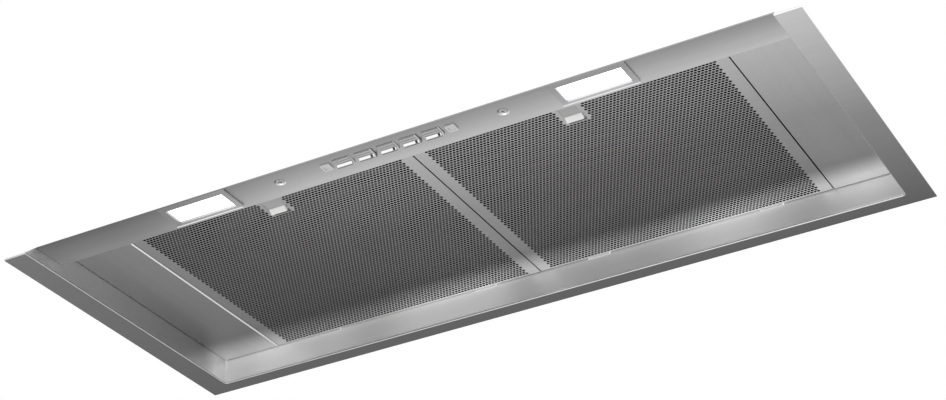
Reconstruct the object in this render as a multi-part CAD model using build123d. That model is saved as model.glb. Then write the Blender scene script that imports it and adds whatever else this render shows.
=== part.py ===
from build123d import *
import math
import os

# Built-in range hood. Millimetres. +Z is up, +Y points to the wall, the user stands at -Y.
# The origin is the middle of the trim flange's underside, which is the lowest face.

# Trim frame
flange_width = 702.0
flange_depth = 312.0
side_flange = 21.5
rear_flange = 14.6
sheet = 1.0
edge_bend = 1.5
corner_radius = 3.0
front_lip = 3.4
wall_front_height = 2.2
wall_height = 26.0

# Tray and control strip
filter_plane = 24.0
strip_plane = 11.5
strip_setback = 12.9
strip_depth = 36.4
strip_bend = 1.6
front_slope = 0.69

# Upper housing
housing_height = 100.0
housing_foot = 6.0
housing_bend = 6.0
end_break = 40.0
end_inset = 22.5
end_flange = 12.0
base_board = 21.0

# Filters
side_panel_width = 58.0
side_panel_gap = 0.8
filter_height = 10.0
filter_sheet = 0.8
filter_gap = 1.0
filter_front_gap = 1.0
filter_rear_gap = 1.2
hook_width = 20.0
hook_reach = 4.2
hook_spread = 80.0
hook_slot_rise = 5.8

# Filter latches
latch_travel = 5.2
latch_window = 15.6
latch_window_front = 5.7
latch_plate_length = 22.8
ridge_length = 5.0
ridge_drop = 3.2
latch_wall = 1.2
bolt_width = 10.0
bolt_thickness = 3.0
bolt_short_of_fold = 0.3

# Buttons
button_count = 5
button_pitch = 20.0
button_length = 15.0
button_depth = 10.6
button_front = 8.3
button_proud = 0.5
button_ridge = 2.7
button_travel = 2.0
button_gap = 0.4
arm_reach = 12.0
stem_length = 7.5
stem_width = 6.0
stem_depth = 4.0
spring_room = 4.4
spring_wire = 0.4
clip_offset = 56.0
clip_width = 8.0
clip_depth = 8.4
clip_proud = 1.3

# Lamps
lamp_offset = 176.0
bezel_width = 64.0
bezel_depth = 29.7
bezel_front = 0.4
bezel_proud = 1.2
bezel_lip = 1.2
lens_width = 54.0
lens_depth = 22.0
lens_front = 4.7
lens_recess = 0.9
lens_thickness = 0.9
tray_wall = 1.0

# Strip screws
strip_screw_offset = 100.0
strip_screw_setback = 15.3
strip_screw_radius = 2.0
dimple_radius = 4.7
dimple_rise = 2.5

# Blower, which lies flat with its axis upright
blower_x = -145.0
blower_y = 62.0
scroll_floor = 48.0
scroll_split = 70.0
scroll_wall = 2.0
scroll_top_gap = 2.0
tongue_radius = 60.0
volute_step = 6.0
outlet_box_half = 62.0
outlet_box_front = 17.0
ear_width = 16.0
ear_depth = 10.0
inlet_radius = 43.0
inlet_lip = 3.0
impeller_radius = 54.0
impeller_floor_gap = 2.0
blade_depth = 9.0
blade_height = 30.0
blade_count = 32
wheel_sheet = 2.0
wheel_cup_radius = 35.0
shaft_radius = 4.0
shaft_clearance = 0.05
motor_radius = 31.0
motor_height = 28.0
motor_gap = 2.0
bearing_radius = 9.0
bearing_height = 4.0
rotor_radius = 17.0
stack_height = 12.0
bush_circle = 46.0
bush_radius = 5.5
bush_height = 5.0
motor_screw_radius = 1.9

# Outlet collar and flaps
collar_y = 78.0
collar_radius = 62.0
collar_wall = 2.5
collar_height = 24.0
collar_screw_circle = 70.0
collar_flange = 3.0
flap_clearance = 1.0
flap_thickness = 1.4
flap_pin_radius = 2.0
flap_pin_height = 8.5

# Fasteners and electrics
tapping_screw_radius = 2.1
tapping_head_radius = 4.0
tapping_head_height = 2.0
support_offset = 70.0
support_width = 24.0
support_sheet = 1.2
capacitor_x = 120.0
capacitor_y = 20.0
capacitor_radius = 15.0
capacitor_length = 45.0
stud_radius = 4.0
stud_head = 5.0
gland_x = 215.0
gland_y = 85.0
gland_radius = 10.0
gland_bore = 4.0
junction_half_x = 45.0
junction_half_y = 35.0
junction_depth = 42.0
lid_thickness = 2.5
terminal_length = 36.0
terminal_height = 16.0
loom_radius = 2.5
loom_x = 300.0
fit = 0.2

front = -flange_depth / 2
recess_half = flange_width / 2 - side_flange
recess_rear = flange_depth / 2 - rear_flange
strip_front = front + strip_setback
strip_rear = strip_front + strip_depth
strip_inside = strip_plane + sheet
housing_rear = recess_rear + 2 * sheet
housing_half = recess_half + sheet
housing_top = housing_height - sheet
slope_drop = sheet / math.cos(math.atan(front_slope))
filter_front = strip_rear + filter_front_gap
filter_rear = recess_rear - filter_rear_gap
filter_width = recess_half - fit - side_panel_width - side_panel_gap - filter_gap / 2
filter_centre = (filter_gap + filter_width) / 2
filter_top = filter_plane + filter_height
scroll_roof = housing_top - scroll_top_gap
bracket_top = scroll_roof - scroll_wall - bush_height
motor_top = bracket_top - 2
motor_foot = motor_top - motor_height
blade_low = scroll_floor + scroll_wall + impeller_floor_gap
collar_hole_radius = collar_radius - collar_wall - 1


def slope_height(y):
    """Height of the housing's sloping front, outside, above a place behind the strip's front edge."""
    return strip_inside + front_slope * (y - strip_front)


def slope_inside(y):
    return slope_height(y) - slope_drop


def slope_place(z):
    return strip_front + (z - strip_inside) / front_slope


def block(x0, x1, y0, y1, z0, z1):
    centre = Pos((x0 + x1) / 2, (y0 + y1) / 2, (z0 + z1) / 2)
    return centre * Box(x1 - x0, y1 - y0, z1 - z0)


def rod_x(radius, x0, x1, y, z):
    return Pos((x0 + x1) / 2, y, z) * Rot(0, 90, 0) * Cylinder(radius, x1 - x0)


def rod_y(radius, x, y0, y1, z):
    return Pos(x, (y0 + y1) / 2, z) * Rot(90, 0, 0) * Cylinder(radius, y1 - y0)


def rod_z(radius, x, y, z0, z1):
    return Pos(x, y, (z0 + z1) / 2) * Cylinder(radius, z1 - z0)


def prism_x(points, x0, x1):
    outline = Polyline(*[(x0, y, z) for y, z in points], close=True)
    return extrude(make_face(outline), amount=x1 - x0, dir=(1, 0, 0))


def prism_y(points, y0, y1):
    outline = Polyline(*[(x, y0, z) for x, z in points], close=True)
    return extrude(make_face(outline), amount=y1 - y0, dir=(0, 1, 0))


def edges_at(shape, axis_name, tests):
    """Edges along one axis whose middle lies at the given coordinates."""
    axis = {"x": Axis.X, "y": Axis.Y, "z": Axis.Z}[axis_name]
    found = []
    for edge in shape.edges().filter_by(axis):
        middle = edge.center()
        if all(abs(getattr(middle, name) - value) < 0.05 for name, value in tests):
            found.append(edge)
    return found


def coil_spring(radius, wire, length, turns):
    """A compression spring that stands on z = 0, with its outside at radius."""
    mean = radius - wire / 2
    path = Helix(pitch=(length - wire) / turns, height=length - wire, radius=mean)
    section = Plane(path @ 0, z_dir=path % 0) * Circle(wire / 2)
    return Pos(0, 0, wire / 2) * sweep(section, path=path, is_frenet=True)


def tapping_screw(length):
    """A pan-head screw that points down, with its head resting on z = 0."""
    head = Pos(0, 0, tapping_head_height / 2) * Cylinder(tapping_head_radius, tapping_head_height)
    head = fillet(head.edges().sort_by(Axis.Z)[-1], tapping_head_height * 0.45)
    slot = block(-2.6, 2.6, -0.5, 0.5, tapping_head_height - 1.0, tapping_head_height + 1)
    cross = slot + Rot(0, 0, 90) * slot
    shank = rod_z(tapping_screw_radius, 0, 0, -length + 2, 0)
    point = Pos(0, 0, -length + 1) * Cone(0.5, tapping_screw_radius, 2)
    return (head - cross) + shank + point


def recess_plan(grow):
    """The tray's outline in plan, grown outwards, open past the front edge."""
    half = recess_half + grow
    rear = recess_rear + grow
    radius = corner_radius + grow
    start = front - 40
    plan = Pos(0, (start + rear) / 2) * Rectangle(2 * half, rear - start)
    return fillet(plan.vertices().group_by(Axis.Y)[-1], radius)


def trim_frame():
    inner = extrude(recess_plan(0), amount=wall_height)
    outer = extrude(recess_plan(sheet), amount=wall_height)
    slab = block(-flange_width / 2, flange_width / 2, front, -front, 0, sheet)
    walls = outer - inner - block(-flange_width, flange_width, front - 60, front, -1, wall_height + 1)
    frame = slab - Pos(0, 0, -5) * extrude(recess_plan(0), amount=10) + walls
    high = wall_height + 1
    ramp = [(front - 1, wall_front_height), (front, wall_front_height), (strip_front, strip_inside),
            (slope_place(high), high), (front - 1, high)]
    frame -= prism_x(ramp, -flange_width, flange_width)
    for side in (-1, 1):
        x0, x1 = sorted((side * flange_width / 2, side * (recess_half + sheet)))
        frame += block(x0, x1, front, front + sheet, 0, front_lip)
    bottom = frame.faces().sort_by(Axis.Z)[0]
    inside = [e for e in bottom.edges() if abs(e.center().X) < recess_half + 0.1
              and front + 1 < e.center().Y < recess_rear + 0.1]
    frame = fillet(inside, edge_bend)
    for slot in hook_slots(recess_rear - 1, recess_rear + sheet + 1):
        frame -= slot
    return frame


def hook_slots(y0, y1):
    slots = []
    for centre in (-filter_centre, filter_centre):
        for offset in (-hook_spread, hook_spread):
            x = centre + offset
            half = hook_width / 2 + 1
            low = filter_plane - 0.8
            slots.append(block(x - half, x + half, y0, y1, low, filter_plane + hook_slot_rise))
    return slots


def side_panel(side):
    outer = recess_half - fit
    x0, x1 = sorted((side * (outer - side_panel_width), side * outer))
    panel = block(x0, x1, filter_front, filter_rear, filter_plane, filter_top)
    panel -= block(x0 + sheet, x1 - sheet, filter_front - 1, filter_rear + 1,
                   filter_plane + sheet, filter_top + 1)
    bends = []
    for x in (x0, x1):
        bends += edges_at(panel, "y", (("X", x), ("Z", filter_plane)))
    panel = fillet(bends, edge_bend * 0.6)
    around = block(-flange_width, flange_width, front, -front, 0, filter_top + 1)
    return panel - (around - extrude(recess_plan(-fit), amount=filter_top + 2))


def button_places():
    start = -(button_count - 1) / 2 * button_pitch
    return [start + i * button_pitch for i in range(button_count)]


def control_strip():
    half = recess_half - fit
    strip = block(-half, half, strip_front, strip_rear, strip_plane, filter_top)
    strip -= block(-half - 1, half + 1, strip_front - 1, strip_rear - sheet, strip_inside, filter_top + 1)
    strip = fillet(edges_at(strip, "x", (("Y", strip_rear), ("Z", strip_plane))), strip_bend)
    strip = fillet(edges_at(strip, "x", (("Y", strip_front), ("Z", strip_plane))), sheet * 0.6)
    y0 = strip_front + button_front - button_gap
    y1 = y0 + button_depth + 2 * button_gap
    for x in button_places():
        reach = button_length / 2 + button_gap
        strip -= block(x - reach, x + reach, y0, y1, strip_plane - 1, strip_inside + 1)
    reach = bolt_width / 2 + 1
    for side in (-1, 1):
        strip -= lamp_cut(side)
        strip -= clip_cut(side)
        strip = strip - dimple(side, 0) + (dimple(side, 0) - dimple(side, -0.8))
        strip -= rod_z(strip_screw_radius + 0.3, side * strip_screw_offset, screw_line(), 0, 40)
        x = side * filter_centre
        strip -= block(x - reach, x + reach, strip_rear - 2, strip_rear + 1, bolt_low() - 1,
                       bolt_low() + bolt_thickness + 1)
    notch = loom_radius + 1.5
    return strip - block(loom_x - notch, loom_x + notch, strip_rear - 2, strip_rear + 1, 22, filter_top + 1)


def lamp_cut(side):
    x = side * lamp_offset
    reach = bezel_width / 2 - 2.2
    y0 = lens_y()[0] - 1.1
    y1 = lens_y()[1] + 1.1
    return block(x - reach, x + reach, y0, y1, strip_plane - 1, strip_inside + 1)


def clip_centre():
    return strip_front + button_front + button_depth / 2 + 0.9


def clip_cut(side):
    x = side * clip_offset
    y = clip_centre()
    rx = clip_width / 2 - 0.4
    ry = clip_depth / 2 - 0.4
    return block(x - rx, x + rx, y - ry, y + ry, strip_plane - 1, strip_inside + 1)


def screw_line():
    return strip_front + strip_screw_setback


def dimple(side, grow):
    """The countersunk dimple round a strip screw; a negative grow gives its inside."""
    cone = Cone(dimple_radius + grow, 2.3 + sheet + grow, dimple_rise)
    return Pos(side * strip_screw_offset, screw_line(), strip_plane + dimple_rise / 2) * cone


def strip_screws():
    screws = []
    for side in (-1, 1):
        x = side * strip_screw_offset
        low = strip_plane + 0.5
        head = Pos(x, screw_line(), low + 0.9) * Cone(3.3, 2.2, 1.8)
        slot = block(-2.4, 2.4, -0.45, 0.45, low - 1, low + 0.9)
        cross = Pos(x, screw_line(), 0) * (slot + Rot(0, 0, 90) * slot)
        shank = rod_z(strip_screw_radius, x, screw_line(), low + 1.7, low + 7)
        screws.append((head - cross) + shank)
    return Compound(screws)


def button_section():
    y0 = strip_front + button_front
    y1 = y0 + button_depth
    face = strip_plane - button_proud
    ridge = strip_plane - button_ridge
    return [(y0, strip_inside + 0.4), (y0, face), (y1 - 3.5, face - 0.3), (y1 - 1.5, ridge),
            (y1 - 0.6, ridge), (y1, ridge + 0.8), (y1, strip_inside + 0.4)]


def stem_middle():
    return strip_front + button_front + arm_reach + button_depth / 2


def button(index):
    """A key: its cap, the arm behind it and the stem that slides in the switch block."""
    x = button_places()[index]
    cap = prism_x(button_section(), x - button_length / 2, x + button_length / 2)
    y0 = strip_front + button_front
    low = strip_inside + fit
    reach = button_length / 2 + button_gap + 0.6
    y = stem_middle()
    arm_rear = y + stem_depth / 2
    arm = block(x - reach, x + reach, y0 + 1, arm_rear, low, low + 1.3)
    half = stem_width / 2
    stem = block(x - half, x + half, y - stem_depth / 2, arm_rear, low, low + 1.3 + stem_length)
    key = cap + arm + stem
    if index > 0:
        ridge = strip_plane - button_ridge
        key -= rod_z(1.2, x + button_length * 0.24, y0 + button_depth - 1.3, ridge - 1, ridge + 0.5)
    return key


def stem_top():
    return strip_inside + fit + 1.3 + stem_length


def switch_block():
    """Wedge-shaped block behind the keys, with a guide pocket for each stem."""
    low = strip_inside + fit + 1.3 + button_travel + 0.3
    y = stem_middle()
    y0 = y - stem_depth / 2 - 3.0
    y1 = strip_rear - sheet - 0.5
    roof = slope_inside(y1 - 3) - 0.6
    outline = [(y0, low), (y0, slope_inside(y0) - 0.6), (y1 - 3, roof), (y1, roof), (y1, low)]
    half = button_places()[-1] + button_length / 2 + 4.5
    body = prism_x(outline, -half, half)
    for x in button_places():
        rx = stem_width / 2 + 0.3
        ry = stem_depth / 2 + 0.3
        body -= block(x - rx, x + rx, y - ry, y + ry, low - 1, stem_top() + spring_room)
    foot_front = clip_centre() - clip_depth / 2
    for side in (-1, 1):
        x0, x1 = sorted((side * (half - 1), side * (clip_offset + clip_width / 2 + 1.2)))
        body += block(x0, x1, foot_front, y1, strip_inside, strip_inside + 2)
        body += block(x0, x1, y0, y1, strip_inside, low + 2)
        body -= clip_shank(side, 0)
    return body


def clip_shank(side, slack):
    x = side * clip_offset
    y = clip_centre()
    rx = clip_width / 2 - 0.6 - slack
    ry = clip_depth / 2 - 0.6 - slack
    return block(x - rx, x + rx, y - ry, y + ry, strip_plane, strip_inside + 2.6)


def switch_clips():
    """Two square snap clips, pushed up through the strip, that hold the switch block."""
    clips = []
    for side in (-1, 1):
        x = side * clip_offset
        y = clip_centre()
        rx = clip_width / 2
        ry = clip_depth / 2
        head = block(x - rx, x + rx, y - ry, y + ry, strip_plane - clip_proud, strip_plane)
        hollow = block(x - rx + 1.3, x + rx - 1.3, y - ry + 1.3, y + ry - 1.3, 0, strip_plane - 0.5)
        clips.append(head - hollow + clip_shank(side, 0.1))
    return Compound(clips)


def button_springs():
    springs = []
    for x in button_places():
        spring = coil_spring(stem_depth / 2, spring_wire, spring_room - 0.1, 4)
        springs.append(Pos(x, stem_middle(), stem_top() + 0.05) * spring)
    return Compound(springs)


def bezel_y():
    low = strip_front + bezel_front
    return low, low + bezel_depth


def lens_y():
    low = strip_front + bezel_front + lens_front
    return low, low + lens_depth


def lamp_bezel(side):
    x = side * lamp_offset
    y0, y1 = bezel_y()
    w0, w1 = lens_y()
    half = bezel_width / 2
    low = strip_plane - bezel_proud
    plate = block(x - half, x + half, y0, y1, low, strip_plane)
    skirt = block(x - half + 2.5, x + half - 2.5, w0 - 0.9, w1 + 0.9, strip_plane, strip_inside)
    window = block(x - lens_width / 2 - 0.1, x + lens_width / 2 + 0.1, w0 - 0.1, w1 + 0.1, low - 1, low + 9)
    lip = [(y1 - 2.6, low), (y1 - 1.2, low - bezel_lip), (y1 - 0.3, low - bezel_lip),
           (y1, low - bezel_lip + 0.5), (y1, low)]
    return plate + skirt + prism_x(lip, x - half, x + half) - window


def lamp_lens(side):
    """Frosted cover with two wings that rest on the bezel's skirt."""
    x = side * lamp_offset
    w0, w1 = lens_y()
    half = lens_width / 2
    low = strip_plane + lens_recess
    glass = block(x - half, x + half, w0, w1, low, low + lens_thickness)
    wing = half + 1.6
    return glass + block(x - wing, x + wing, w0 + 3, w1 - 1, strip_inside, strip_inside + 0.6)


def lamp_tray(side):
    """Wedge-shaped reflector tray over the lens, under the housing's slope."""
    x = side * lamp_offset
    half = bezel_width / 2 - 2.2 + tray_wall
    y0 = lens_y()[0] - 1.9
    y1 = lens_y()[1] + 2.1
    under = slope_drop + 0.3
    outer = [(y0, strip_inside), (y0, slope_height(y0) - under),
             (y1, slope_height(y1) - under), (y1, strip_inside)]
    t = tray_wall
    inner = [(y0 + t, strip_inside - 1), (y0 + t, slope_height(y0 + t) - under - t),
             (y1 - t, slope_height(y1 - t) - under - t), (y1 - t, strip_inside - 1)]
    tray = prism_x(outer, x - half, x + half)
    return tray - prism_x(inner, x - half + t, x + half - t)


def led_board(side):
    x = side * lamp_offset
    y1 = lens_y()[1] + 2.1 - tray_wall
    y0 = y1 - 9
    high = slope_height(y0) - slope_drop - 0.3 - tray_wall - 0.3
    board = block(x - 25, x + 25, y0, y1, high - 1.6, high)
    for i in range(6):
        cx = x - 20 + 8 * i
        board += block(cx - 1.6, cx + 1.6, y0 + 3, y0 + 6.2, high - 2.4, high - 1.6)
    return board


def housing_outline(inset):
    """The housing's section: sloping front, flat top and upright rear, shrunk by inset."""
    lean = inset / math.cos(math.atan(front_slope))
    top = housing_height - inset
    rear = housing_rear - inset
    start = strip_front + lean / front_slope
    brow = start + (top - strip_inside) / front_slope
    foot = housing_foot - inset
    outline = Polyline((0, start, strip_inside), (0, brow, top), (0, rear, top), (0, rear, foot),
                       (0, start + 8, foot), close=True)
    face = make_face(outline)
    corners = face.vertices().group_by(Axis.Z)[-1]
    return fillet(corners, housing_bend - inset)


def end_outline(inset):
    """Half of the housing's outline seen from the front, shrunk by inset."""
    half = housing_half + sheet - inset
    return [(0, -20), (half, -20), (half, end_break), (half - end_inset, housing_height),
            (0, housing_height + 20)]


def between_ends(inset):
    right = prism_y(end_outline(inset), -300, 300)
    left = prism_y([(-x, z) for x, z in end_outline(inset)], -300, 300)
    return left + right


def housing_body(inset):
    return extrude(housing_outline(inset), amount=housing_half + 5, both=True)


def housing_shell():
    """One sheet folded into the sloping front, the top and the rear wall, with two tabs for the strip."""
    shell = housing_body(0) - housing_body(sheet)
    shell &= between_ends(sheet)
    shell -= block(-400, 400, strip_front - 1, slope_place(filter_top), 0, strip_inside)
    shell -= block(-400, 400, strip_front - 1, housing_rear - 2 * sheet, 0, housing_foot + 3)
    for side in (-1, 1):
        x0, x1 = sorted((side * (recess_half - fit), side * 400))
        shell -= block(x0, x1, strip_front - 1, housing_rear - sheet, 0, wall_height + 0.3)
    low = strip_plane + dimple_rise + fit
    for side in (-1, 1):
        x = side * strip_screw_offset
        tab = block(x - 14, x + 14, slope_place(low + 1.2), screw_line() + 8, low, low + 1.2)
        shell += tab - rod_z(strip_screw_radius, x, screw_line(), 0, 40)
    shell -= rod_z(collar_hole_radius, 0, collar_y, housing_top - 5, housing_height + 5)
    shell -= rod_z(gland_radius - 2, gland_x, gland_y, housing_top - 5, housing_height + 5)
    shell -= rod_z(stud_radius + fit, capacitor_x, capacitor_y, housing_top - 5, housing_height + 5)
    for slot in hook_slots(housing_rear - 3 * sheet, housing_rear + 1):
        shell -= slot
    for place in housing_screw_places() + collar_screw_places():
        shell -= place * rod_z(tapping_screw_radius, 0, 0, -6, 2)
    return shell


def end_plate(side):
    """Outer wall of one end, folded inwards at the break, with a top and a rear flange."""
    plate = housing_body(0) & (between_ends(0) - between_ends(sheet))
    plate &= block(*sorted((0, side * 500)), -300, 300, -10, 300)
    half = housing_half + sheet
    inner = half - end_inset
    x0, x1 = sorted((side * (inner - end_flange), side * (inner + 4)))
    brow = slope_place(housing_height)
    flanges = block(x0, x1, brow + 12, housing_rear - 8, housing_top - sheet, housing_top)
    x0, x1 = sorted((side * (inner - end_flange), side * half))
    rear = housing_rear - sheet
    flanges += block(x0, x1, rear - sheet, rear, end_break, housing_top - housing_bend)
    plate += flanges & between_ends(sheet)
    for place in housing_screw_places():
        plate -= place * rod_z(tapping_screw_radius, 0, 0, -6, 2)
    for y, z in support_screw_places():
        plate -= rod_x(tapping_screw_radius, *sorted((side * (half - 5), side * (half + 5))), y, z)
    return plate


def housing_screw_places():
    """Where the tapping screws sit: each place is a screw head's seat, pointing outwards."""
    places = []
    x = housing_half + sheet - end_inset - end_flange / 2
    for side in (-1, 1):
        for y in (20, 110):
            places.append(Pos(side * x, y, housing_height))
        places.append(Pos(side * x, housing_rear, 66) * Rot(-90, 0, 0))
    for ear_x, ear_y in scroll_ears():
        places.append(Pos(ear_x, ear_y, housing_height))
    return places


def collar_screw_places():
    places = []
    for turn in (45, 135, 225, 315):
        angle = math.radians(turn)
        x = collar_screw_circle * math.cos(angle)
        y = collar_y + collar_screw_circle * math.sin(angle)
        places.append(Pos(x, y, housing_height + 2))
    return places


def support_screw_places():
    places = []
    for y in (-support_offset, support_offset):
        places.append((y, filter_top + tapping_screw_radius + 0.4))
    return places


def housing_screws():
    """All the self-tapping screws, which are one size."""
    screw = tapping_screw(9.5)
    screws = [place * screw for place in housing_screw_places() + collar_screw_places()]
    for side in (-1, 1):
        x = side * (housing_half + sheet + support_sheet)
        for y, z in support_screw_places():
            screws.append(Pos(x, y, z) * Rot(0, side * 90, 0) * screw)
    return Compound(screws)


def snap_supports():
    """Four spring clips that snap behind the cabinet's base board."""
    root = housing_half + sheet
    t = support_sheet
    low = base_board
    outline = [(root, low + 4), (root + t, low + 4), (root + t, end_break - 4), (root + 7.6, low),
               (root + 8.8, low + 0.6), (root + t + 0.6, end_break + 1), (root, end_break + 1)]
    supports = []
    for side in (-1, 1):
        for y in (-support_offset, support_offset):
            points = [(side * x, z) for x, z in outline]
            clip = prism_y(points, y - support_width / 2, y + support_width / 2)
            for cy, z in support_screw_places():
                clip -= rod_x(tapping_screw_radius, side * root - 3, side * root + 3, cy, z)
            window = sorted((side * (root + t), side * (root + 30)))
            clip -= block(*window, y - 5.5, y + 5.5, low - 1, end_break + 2)
            supports.append(clip)
    return Compound(supports)


def filter_x(side):
    middle = side * filter_centre
    return middle - filter_width / 2, middle + filter_width / 2


def latch_window_rear():
    return latch_front() + latch_plate_length + 0.4 + ridge_length + latch_travel + 0.4


def latch_front():
    return filter_front + latch_window_front


def ridge_front():
    return latch_front() + latch_plate_length + 0.4


def filter_face(side):
    """The face tray. Its perforation is left out: the sheet is plain between its margins."""
    x0, x1 = filter_x(side)
    t = filter_sheet
    tray = block(x0, x1, filter_front, filter_rear, filter_plane, filter_top)
    tray -= block(x0 + t, x1 - t, filter_front + t, filter_rear - t, filter_plane + t, filter_top + 1)
    bends = [e for e in tray.faces().sort_by(Axis.Z)[0].edges()]
    tray = fillet(bends, t * 0.8)
    middle = side * filter_centre
    for offset in (-hook_spread, hook_spread):
        x = middle + offset
        tray += block(x - hook_width / 2, x + hook_width / 2, filter_rear - t - 1, filter_rear + hook_reach,
                      filter_plane + t * 0.1, filter_plane + t)
    half = latch_window / 2
    tray -= block(middle - half, middle + half, latch_front(), latch_window_rear(),
                  filter_plane - 1, filter_plane + t + 0.5)
    reach = bolt_width / 2 + 0.6
    low = bolt_low() - 0.4
    tray -= block(middle - reach, middle + reach, filter_front - 1, filter_front + t + 0.5,
                  low, low + bolt_thickness + 0.8)
    return tray


def bolt_low():
    return filter_plane + filter_sheet + latch_wall + 1.0


def case_box(side, grow):
    middle = side * filter_centre
    half = latch_window / 2 + 2.0 + grow
    y0 = filter_front + filter_sheet
    y1 = latch_window_rear() + 1.8 + grow
    z0 = filter_plane + filter_sheet
    z1 = filter_top - filter_sheet - fit
    return block(middle - half, middle + half, y0, y1, z0, z1)


def filter_mesh(side):
    x0, x1 = filter_x(side)
    inset = filter_sheet + 0.4
    low = filter_plane + filter_sheet
    high = filter_top - 2 * filter_sheet
    pack = block(x0 + inset, x1 - inset, filter_front + inset, filter_rear - inset, low, high)
    return pack - case_box(side, 0.4)


def filter_back(side):
    """Backing frame over the mesh pack, with four wide windows."""
    x0, x1 = filter_x(side)
    inset = filter_sheet
    high = filter_top - filter_sheet
    low = high - filter_sheet
    y0 = filter_front + inset
    y1 = filter_rear - inset
    sheet_back = block(x0 + inset, x1 - inset, y0, y1, low, high)
    rim = 14.0
    bar = 8.0
    window = (x1 - x0 - 2 * inset - 2 * rim - 3 * bar) / 4
    for i in range(4):
        wx = x0 + inset + rim + i * (window + bar)
        sheet_back -= block(wx, wx + window, latch_window_rear() + 8, y1 - rim, low - 1, high + 1)
    return sheet_back - case_box(side, 0.2)


def latch_case(side):
    middle = side * filter_centre
    half = latch_window / 2
    t = latch_wall
    inner = half + 2.0 - t
    y0 = filter_front + filter_sheet
    y1 = latch_window_rear() + 1.8
    z0 = filter_plane + filter_sheet
    z1 = filter_top - filter_sheet - fit
    case = case_box(side, 0)
    case -= block(middle - inner, middle + inner, y0 + t, y1 - t, z0 + t, z1 - t)
    case -= block(middle - half, middle + half, ridge_front() - 0.3, latch_window_rear(),
                  z0 - 1, z0 + t + 0.5)
    plate_rear = latch_front() + latch_plate_length
    case += block(middle - half + 0.15, middle + half - 0.15, latch_front() + 0.15, plate_rear,
                  filter_plane + 0.1, z0 + 0.2)
    reach = bolt_width / 2 + 0.3
    return case - block(middle - reach, middle + reach, y0 - 1, y0 + t + 0.5,
                        bolt_low() - 0.3, bolt_low() + bolt_thickness + 0.3)


def slider_rear():
    return filter_front + filter_sheet + latch_wall + fit + 18.0


def latch_slider(side):
    middle = side * filter_centre
    half = latch_window / 2 + 2.0 - latch_wall - 0.3
    grip = latch_window / 2 - 0.4
    low = filter_plane + filter_sheet + latch_wall + fit
    body_front = filter_front + filter_sheet + latch_wall + fit
    slider = block(middle - half, middle + half, body_front, slider_rear(), low, low + 4.4)
    reach = bolt_width / 2
    slider += block(middle - reach, middle + reach, strip_rear + bolt_short_of_fold, body_front,
                    bolt_low(), bolt_low() + bolt_thickness)
    y0 = ridge_front()
    y1 = y0 + ridge_length
    slider += block(middle - grip, middle + grip, slider_rear(), y1, low, low + 1.4)
    plane = filter_plane
    section = [(y0, low), (y0, plane), (y1 - 1.1, plane - ridge_drop), (y1 - 0.5, plane - ridge_drop + 0.2),
               (y1, plane - 0.4), (y1, low)]
    return slider + prism_x(section, middle - grip, middle + grip)


def latch_spring(side):
    radius = 1.75
    length = latch_window_rear() + 1.8 - latch_wall - slider_rear() - 0.1
    spring = coil_spring(radius, 0.5, length, 9)
    low = filter_plane + filter_sheet + latch_wall + fit + 1.4 + 0.1
    return Pos(side * filter_centre, slider_rear() + 0.05, low + radius) * Rot(-90, 0, 0) * spring


def scroll_face(z):
    """The scroll's inside in plan: three arcs of growing radius that open into the box under the collar."""
    r = tongue_radius
    s = volute_step
    half = s / 2

    def at(along, across):
        return (blower_x + along, blower_y + across, z)

    def on_arc(across, along, radius, degrees):
        angle = math.radians(degrees)
        return at(along + radius * math.sin(angle), across + radius * math.cos(angle))

    low = half - s + 1
    a = ThreePointArc(on_arc(-half, low, r, 90), on_arc(-half, low, r, 135), on_arc(-half, low, r, 180))
    b = ThreePointArc(on_arc(half, low, r + s, 180), on_arc(half, low, r + s, 225),
                      on_arc(half, low, r + s, 270))
    c = ThreePointArc(on_arc(half, low + s, r + 2 * s, 270), on_arc(half, low + s, r + 2 * s, 315),
                      on_arc(half, low + s, r + 2 * s, 360))
    rear = blower_y + half + r + 2 * s
    tongue = at(low + r, -half)
    outlet = Polyline(at(low + s, half + r + 2 * s), (outlet_box_half, rear, z),
                      (outlet_box_half, outlet_box_front, z),
                      (-outlet_box_half + 4, outlet_box_front, z), tongue)
    return make_face(Wire([a, b, c] + list(outlet.edges())))


def scroll_ears():
    """Middles of the two ears that hang the scroll from the housing's top."""
    reach = tongue_radius + 2 * volute_step - volute_step / 2 - 1 + scroll_wall
    left = blower_x - reach - ear_width / 2 + 1
    right = outlet_box_half + 1 + ear_width / 2
    return [(left, blower_y + 3), (right, collar_y)]


def upper_scroll_half():
    inside = scroll_face(scroll_split)
    outside = offset(inside, amount=scroll_wall, kind=Kind.INTERSECTION)
    half = extrude(outside, amount=scroll_roof - scroll_split, dir=(0, 0, 1))
    half -= extrude(inside, amount=scroll_roof - scroll_wall - scroll_split, dir=(0, 0, 1))
    half -= rod_z(collar_hole_radius, 0, collar_y, scroll_roof - 5, scroll_roof + 5)
    reach = ear_width / 2
    for x, y in scroll_ears():
        ear = block(x - reach, x + reach, y - reach, y + reach, housing_top - ear_depth, housing_top)
        half += ear - rod_z(tapping_screw_radius, x, y, housing_top - 20, housing_top + 2)
    for place in collar_screw_places():
        x = place.position.X
        y = place.position.Y
        half -= rod_z(tapping_screw_radius, x, y, scroll_roof - 5, scroll_roof + 5)
    for x, y in bush_places():
        half -= rod_z(motor_screw_radius, x, y, scroll_roof - 5, scroll_roof + 5)
    return half


def lower_scroll_half():
    inside = scroll_face(scroll_split)
    outside = offset(inside, amount=scroll_wall, kind=Kind.INTERSECTION)
    half = extrude(outside, amount=scroll_split - scroll_floor, dir=(0, 0, -1))
    half -= extrude(inside, amount=scroll_split - scroll_floor - scroll_wall, dir=(0, 0, -1))
    half += blower_rod(inlet_radius + 3, scroll_floor - inlet_lip, scroll_floor + 0.5)
    return half - blower_rod(inlet_radius, scroll_floor - inlet_lip - 1, scroll_floor + scroll_wall + 1)


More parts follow.
